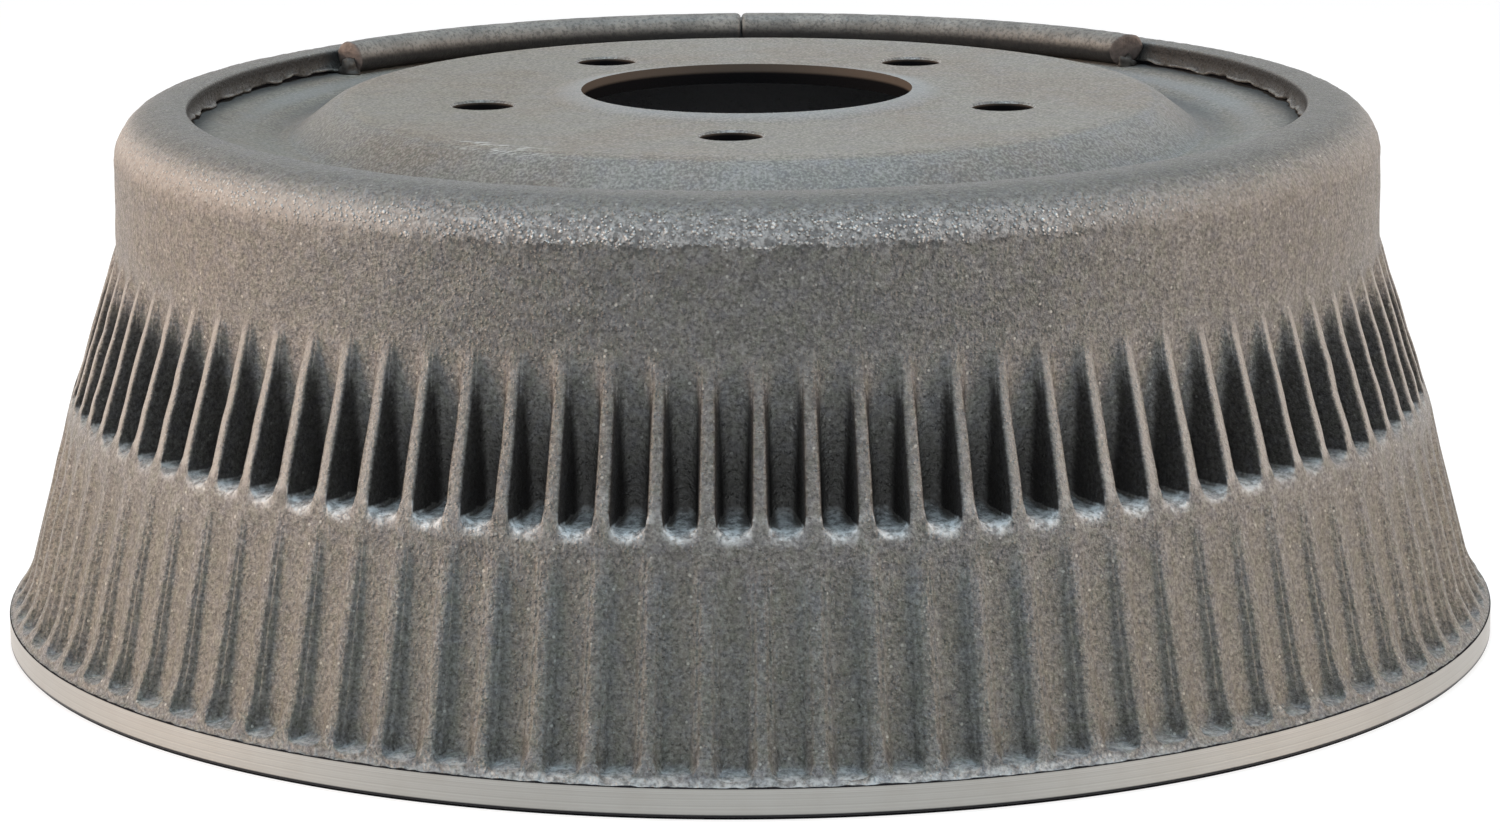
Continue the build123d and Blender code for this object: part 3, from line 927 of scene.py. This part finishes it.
def rod_stations(length):
    """Where a bar's rings stand along it, and each one's share of its radius."""
    body = np.linspace(ROD_BODY_START, length - ROD_BODY_END, ROD_RINGS)
    outer_end = [(length + distance, scale) for distance, scale in ROD_OUTER_END]
    return ROD_JOINT_END + [(distance, 1.0) for distance in body] + outer_end


def rod_ring(angles, across, up, share):
    """A ring of a bar, dented a little, and more towards its sheared end."""
    height = rod_seat_height + rod_radius + up
    ring = around(angles, rod_path_radius + across, height)
    swell = layered(ring, ROD_WAVES) * (1 + 2 * share)
    radii = rod_path_radius + across * (1 - abs(swell) / rod_radius)
    ring = around(angles, radii, height)
    ring[:, 2] += np.where(up > 0, -abs(swell), abs(swell))
    return ring


def add_rod_rings(skin, direction, arc, shear):
    """A bar's rings from its rounded joint end to its sheared outer end."""
    turn = round_bar(direction)
    start = ROD_JOINT_ANGLE + direction * ROD_JOINT_GAP / 2 / rod_path_radius
    length = arc * rod_path_radius
    stations = rod_stations(length)
    for number, (distance, scale) in enumerate(stations):
        across = rod_radius * scale * np.cos(turn)
        up = rod_radius * scale * np.sin(turn)
        share = max(0.0, (distance - length + ROD_SHEAR_REACH) / ROD_SHEAR_REACH)
        lean = (shear[0] * up + shear[1] * across) * share
        angles = start + direction * (distance + lean) / rod_path_radius
        paint = SHEARED if number >= len(stations) - SHEARED_RINGS else 0
        skin.ring(rod_ring(angles, across, up, share), paint)
    skin.cap(paint=SHEARED)


def add_weld_rings(skin, end, direction, scale, seed):
    """An irregular lump in the corner between the bar's end and the seat."""
    turn = round_bar(direction)
    middle_radius = rod_path_radius - WELD_INSET
    middle_height = seat_height + WELD_LIFT
    for lean in np.radians(WELD_TURNS):
        across = scale * WELD_WIDTH * math.cos(lean) * np.cos(turn)
        up = scale * WELD_HEIGHT * math.cos(lean) * np.sin(turn)
        reach = scale * WELD_REACH * math.sin(lean)
        angle = end + direction * (reach - WELD_SINK) / rod_path_radius
        angles = np.full_like(turn, angle)
        ring = around(angles, middle_radius + across, middle_height + up)
        swell = layered(ring, WELD_WAVES, start=1, seed=seed)
        wall = RIM_INNER_RADIUS - WELD_WALL_CLEARANCE
        radii = np.minimum(middle_radius + across * swell, wall)
        heights = np.maximum(middle_height + up * swell, seat_height + WELD_SEAT_CLEARANCE)
        skin.ring(around(angles, radii, heights))
    skin.cap()


def opaque(colour):
    """A socket as it is, or a colour with its alpha."""
    return colour if isinstance(colour, bpy.types.NodeSocket) else (*colour, 1)


class Look(dict):
    """A node tree, and by name the values that its looks follow."""

    def __init__(self, tree):
        super().__init__()
        self.tree = tree

    def set_inputs(self, made, inputs):
        """Sets a node's inputs to values or sockets."""
        for key, value in inputs.items():
            if isinstance(value, bpy.types.NodeSocket):
                self.tree.links.new(value, made.inputs[key])
            else:
                made.inputs[key].default_value = value

    def node(self, kind, inputs=None, **settings):
        """The outputs of a new node with these inputs and settings."""
        made = self.tree.nodes.new("ShaderNode" + kind)
        for key, value in settings.items():
            setattr(made, key, value)
        self.set_inputs(made, inputs or {})
        return made.outputs

    def math(self, operation, *values, clamp=False):
        """The result of one sum."""
        inputs = dict(enumerate(values))
        return self.node("Math", inputs, operation=operation, use_clamp=clamp)[0]

    def vector(self, operation, *values):
        """The outputs of one sum with vectors."""
        return self.node("VectorMath", dict(enumerate(values)), operation=operation)

    def axes(self, vector):
        """A vector's x, y and z."""
        return self.node("SeparateXYZ", {0: vector})

    def stretch(self, value, low, high, to_low=0.0, to_high=1.0):
        """The value, mapped from one range to another and held inside it."""
        inputs = {0: value, 1: low, 2: high, 3: to_low, 4: to_high}
        return self.node("MapRange", inputs, interpolation_type="SMOOTHSTEP")[0]

    def follow(self, name, *span):
        """A named value, stretched over its span where it has one."""
        return self.stretch(self[name], *span) if span else self[name]

    def mix(self, share, first, second, blend="MIX"):
        """The second colour over the first, or multiplied by it, by that share."""
        inputs = {0: share, 6: opaque(first), 7: opaque(second)}
        return self.node("Mix", inputs, data_type="RGBA", blend_type=blend)[2]

    def noise(self, size, detail=3.0, offset=0.0, roughness=0.6):
        """Noise from 0 to 1 whose features are about size metres across."""
        moved = self.vector("ADD", self["where"], (offset,) * 3)[0]
        inputs = {"Vector": moved, "Scale": 1 / size, "Detail": detail, "Roughness": roughness}
        return self.node("TexNoise", inputs)["Fac"]

    def granules(self, size, share, offset=0.0):
        """Round grains from 0 to 1, about size metres apart, in that share of cells."""
        moved = self.vector("ADD", self["where"], (offset,) * 3)[0]
        cells = self.node("TexVoronoi", {"Vector": moved, "Scale": 1 / size})
        chance, least = self.axes(cells["Color"])[0], 1 - share
        picked = self.stretch(chance, least - GRANULE_PICK_FADE, least + GRANULE_PICK_FADE)
        dome = self.stretch(cells["Distance"], *GRANULE_DOME)
        return self.math("MULTIPLY", dome, picked)

    def add_place(self):
        """Adds the position, its x, y and height, and its distance from the axis."""
        where = self.node("TexCoord")["Object"]
        flat = self.vector("MULTIPLY", where, (1, 1, 0))[0]
        self["where"], self["flat"] = where, flat
        self["x"], self["y"], self["height"] = self.axes(where)
        self["radius"] = self.vector("LENGTH", flat)["Value"]

    def add_facing(self):
        """Adds how far the surface faces away from the axis, and how far up, from -1 to 1."""
        normal = self.node("TexCoord")["Normal"]
        away = self.vector("NORMALIZE", self["flat"])[0]
        self["outwards"] = self.vector("DOT_PRODUCT", away, normal)["Value"]
        self["upwards"] = self.axes(normal)[2]

    def add_noises(self, noises):
        """Adds noises."""
        for name, settings in noises.items():
            self[name] = self.noise(*settings)

    def add_zones(self, zones):
        """Adds zones one by one, so that later ones can follow earlier ones."""
        for name, rows in zones.items():
            operation = "MAXIMUM" if name in LARGEST else "MULTIPLY"
            shares = [self.follow(*row) for row in rows]
            self[name] = shares[0]
            for share in shares[1:]:
                self[name] = self.math(operation, self[name], share)

    def toned(self, tones, layers=()):
        """A colour between two tones, under its layers of colour."""
        *followed, first, second = tones
        base = self.mix(self.follow(*followed), first, second)
        for *followed, colour in layers:
            base = self.mix(self.follow(*followed), base, colour)
        return base

    def coated(self, base, coats):
        """The base under coats of colour in their zones."""
        for name, colour, *how in coats:
            base = self.coat(name, base, colour, *how)
        return base

    def coat(self, name, base, colour, strength=1, blend="MIX"):
        """The base under one coat, as strong as said."""
        share = self[name]
        if strength < 1:
            share = self.math("MULTIPLY", share, strength)
        return self.mix(share, base, colour, blend)

    def bumped(self, bumps):
        """A normal that follows one relief after another."""
        normal = {}
        for name, distance, strength in bumps:
            inputs = {"Height": self[name], "Distance": distance, "Strength": strength}
            normal = {"Normal": self.node("Bump", inputs | normal)[0]}
        return normal["Normal"]


def skirt_depth(look):
    """How deep the surface lies under the skirt's straight line."""
    slope = (SKIRT_TOP_RADIUS - HAT_RADIUS) / (FIN_TOP_HEIGHT - SKIRT_TOP_HEIGHT)
    start = SKIRT_TOP_RADIUS + SKIRT_TOP_HEIGHT * slope
    skirt = look.math("MULTIPLY_ADD", look["height"], -slope, start)
    return look.math("SUBTRACT", skirt, look["radius"])


def off_middle(look):
    """How far off the nearest groove's middle a place is: 0 there, and 1 on a crest."""
    angle = look.math("ARCTAN2", look["y"], look["x"])
    pitches = FIN_COUNT / (2 * math.pi)
    first = FIN_COUNT - FIRST_FIN_ANGLE * pitches
    share = look.math("FRACT", look.math("MULTIPLY_ADD", angle, pitches, first))
    share = look.math("ABSOLUTE", look.math("SUBTRACT", share, 0.5))
    return look.math("MULTIPLY", share, 2.0)


def add_casting_values(look):
    """Adds what the casting's looks follow."""
    look.add_place()
    look.add_facing()
    look.add_noises(IRON_NOISES)
    for name, settings in IRON_GRANULES.items():
        look[name] = look.granules(*settings)
    look["sideways"] = look.math("ABSOLUTE", look["x"])
    look["depth"] = skirt_depth(look)
    look["aside"] = off_middle(look)
    look["ragged"] = look.math("MULTIPLY_ADD", look["rag"], RAG_REACH, look["height"])
    look.add_zones(FRONTAL)
    edges = {0: look["frontal"], 2: look.follow(*SOFT_EDGE), 3: look.follow(*SHARP_EDGE)}
    look["edge"] = look.node("Mix", edges, data_type="FLOAT")[0]
    look.add_zones(IRON_ZONES)
    # The recess wall's dark, partly oxide and partly painted shade, kept off the flash
    look["recess"] = look.math("SUBTRACT", look["recess_wall"], look["flash"], clamp=True)


def casting_specular(look):
    """Reflections that fade where the casting is hidden or dark."""
    recess = look.math("MULTIPLY", look["recess"], RECESS_DULLNESS)
    shade = look.math("MAXIMUM", look.math("MAXIMUM", look["lines"], look["walls"]), recess)
    return look.stretch(look.math("MAXIMUM", shade, look["enclosed"]), *IRON_SPECULAR)


def new_material(name):
    """A material, the look of its empty tree and its Principled node."""
    material = bpy.data.materials.new(name)
    material.use_nodes = True
    tree = material.node_tree
    return material, Look(tree), tree.nodes["Principled BSDF"]


def cast_iron():
    """Sand-cast skin: grain, pits and painted glints, roughest round the shoulder, with painted
    shade and highlights in its grooves, recess and rim.
    """
    material, look, shader = new_material("cast_iron_skin")
    add_casting_values(look)
    base = look.toned(IRON_TONES, IRON_LAYERS)
    # Pale grains on the shoulder, with a painted sheen towards the sides
    pale = look.toned(PALE_TONES, PALE_LAYERS)
    base = look.coat("shoulder", base, pale, SHOULDER_COAT)
    rough = look.follow(*IRON_ROUGHNESS)
    inputs = {
        "Base Color": look.coated(base, IRON_COATS),
        "Metallic": 0.0,
        "Specular IOR Level": casting_specular(look),
        "Roughness": look.math("MULTIPLY_ADD", look["gloss"], IRON_GLOSS, rough, clamp=True),
        "Normal": look.bumped(IRON_BUMPS),
    }
    look.set_inputs(shader, inputs)
    return material


def machined_iron():
    """Turned iron: pale, with fine lines round the axis."""
    material, look, shader = new_material("machined_iron")
    look.add_place()
    across = look.math("ADD", look["radius"], look["height"])
    inputs = {"W": across, "Scale": TURNED_LINES, "Detail": 3.0}
    look["lines"] = look.node("TexNoise", inputs, noise_dimensions="1D")["Fac"]
    look.add_noises(MACHINED_NOISES)
    look.add_zones(MACHINED_ZONES)
    base = look.toned(MACHINED_TONES, MACHINED_LAYERS)
    inputs = {
        "Base Color": look.coated(base, MACHINED_COATS),
        "Metallic": 0.75,
        "Roughness": 0.40,
        "Normal": look.bumped(MACHINED_BUMPS),
    }
    look.set_inputs(shader, inputs)
    return material


def add_web_values(look):
    """Adds what the web's looks follow."""
    look.add_place()
    look.add_facing()
    look.add_noises(WEB_NOISES)
    look["levelness"] = look.math("ABSOLUTE", look["upwards"])
    drawn = look.vector("MULTIPLY", look["where"], SCRATCH_STRETCH)[0]
    inputs = {"Vector": drawn, "Scale": SCRATCH_LINES, "Detail": 2.0}
    look["scratches"] = look.node("TexNoise", inputs)["Fac"]
    look.add_zones(WEB_ZONES)


def web_steel():
    """Pressed sheet, blasted dull, with painted shade inside its holes, black deep down and brown
    near the top.
    """
    material, look, shader = new_material("web_steel")
    add_web_values(look)
    base = look.coated(look.toned(WEB_TONES, WEB_LAYERS), WEB_COATS)
    # Painted shade inside the holes and bore
    base = look.mix(look["inside"], base, look.toned(BORE_TONES))
    rough = look.follow(*WEB_ROUGHNESS)
    inputs = {
        "Base Color": look.coated(base, WEB_TOP_COATS),
        "Specular IOR Level": look.follow(*WEB_SPECULAR),
        "Roughness": look.math("MULTIPLY_ADD", look["hole_edges"], HOLE_EDGE_GLOSS, rough),
        "Normal": look.bumped(WEB_BUMPS),
    }
    look.set_inputs(shader, inputs)
    return material


def plain_metal(name, noises, tones, bumps, settings, layers=()):
    """A metal of two tones under a few layers, without zones."""
    material, look, shader = new_material(name)
    look.add_place()
    look.add_noises(noises)
    inputs = {"Base Color": look.toned(tones, layers), "Normal": look.bumped(bumps)}
    look.set_inputs(shader, inputs | settings)
    return material


def stand_for(piece, node_name):
    """Puts a new piece in a CAD piece's stead."""
    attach(piece, "root")
    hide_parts(node_name)


def add_rods():
    """The two bars and the weld at each one's outer end."""
    bar_materials = [plain_metal(**ROD_STEEL), plain_metal(**SHEARED_STEEL)]
    weld_materials = [plain_metal(**WELD_METAL)]
    for side, direction, arc, shear, scale in ROD_SIDES:
        bar = Skin()
        add_rod_rings(bar, direction, arc, shear)
        piece = bar.build(f"bar_{side}", bar_materials)
        stand_for(piece, f"balance_rod_{side}")
        weld = Skin()
        end = ROD_JOINT_ANGLE + direction * (arc + ROD_JOINT_GAP / 2 / rod_path_radius)
        add_weld_rings(weld, end, direction, scale, seed=WELD_SEED + direction * 3)
        piece = weld.build(f"weld_lump_{side}", weld_materials)
        stand_for(piece, f"tack_weld_{side}")


def cover(node_name, material):
    """Gives a CAD piece its material."""
    mesh = frame["nodes"][node_name].data
    mesh.materials.clear()
    mesh.materials.append(material)


def add_area_light(name, position, size, power, colour):
    """A soft square light that faces the drum."""
    lamp = bpy.data.lights.new(name, "AREA")
    lamp.shape = "SQUARE"
    lamp.size = size
    lamp.energy = power
    lamp.color = colour
    made = bpy.data.objects.new(name, lamp)
    bpy.context.scene.collection.objects.link(made)
    made.location = position
    towards = -made.location
    towards.z += wheel_face_height / 2
    made.rotation_euler = towards.to_track_quat("-Z", "Y").to_euler()


def seen_rays(look):
    """1 on rays that the eye follows, directly, in a reflection or through glass."""
    rays = look.node("LightPath")
    seen = look.math("MAXIMUM", rays["Is Camera Ray"], rays["Is Glossy Ray"])
    return look.math("MAXIMUM", seen, rays["Is Transmission Ray"])


def add_floor():
    """A pale floor that stays white but for the object's shadow."""
    material, look, shader = new_material("floor_white")
    inputs = {
        "Base Color": (*FLOOR_GREY, 1),
        "Roughness": 0.9,
        "Emission Color": (1, 1, 1, 1),
        "Emission Strength": look.math("MULTIPLY", seen_rays(look), FLOOR_GLOW),
    }
    look.set_inputs(shader, inputs)
    bpy.ops.mesh.primitive_plane_add(size=FLOOR_SIZE, location=(0, 0, -FLOOR_DROP))
    floor = bpy.context.object
    floor.name = "floor"
    floor.data.materials.append(material)


def add_world():
    """White to the eye and in reflections, and a dark grey as a light."""
    world = bpy.data.worlds.new("studio")
    bpy.context.scene.world = world
    world.use_nodes = True
    look = Look(world.node_tree)
    colour = look.mix(seen_rays(look), WORLD_GREY, (1, 1, 1))
    look.set_inputs(world.node_tree.nodes["Background"], {"Color": colour})


def add_camera():
    """The photographer's view."""
    lens = bpy.data.cameras.new("camera")
    lens.sensor_width = SENSOR_WIDTH
    lens.lens = LENS
    camera = bpy.data.objects.new("camera", lens)
    bpy.context.scene.collection.objects.link(camera)
    turn = Matrix.Rotation(VIEW_TURN - CAMERA_YAW, 4, "Z")
    tilt = Matrix.Rotation(math.pi / 2 - CAMERA_PITCH, 4, "X")
    camera.matrix_world = turn @ tilt @ Matrix.Rotation(CAMERA_ROLL, 4, "Z")
    moved = Matrix.Rotation(VIEW_TURN, 4, "Z") @ Matrix.Translation(CAMERA_PLACE)
    camera.location = moved.to_translation()
    bpy.context.scene.camera = camera


def main():
    """The casting, the web, the rods and welds, and the photographer's stage."""
    skin = Skin()
    add_outside(skin)
    add_band(skin)
    add_inside(skin)
    add_rim(skin)
    add_shoulder(skin)
    skin.close()
    casting = skin.build("ring_casting", [cast_iron(), machined_iron()])
    stand_for(casting, "drum_ring")
    cover("web_disc", web_steel())
    add_rods()
    add_floor()
    add_world()
    for light in LIGHTS:
        add_area_light(*light)
    add_camera()
    bpy.context.scene.view_settings.view_transform = "Standard"


main()
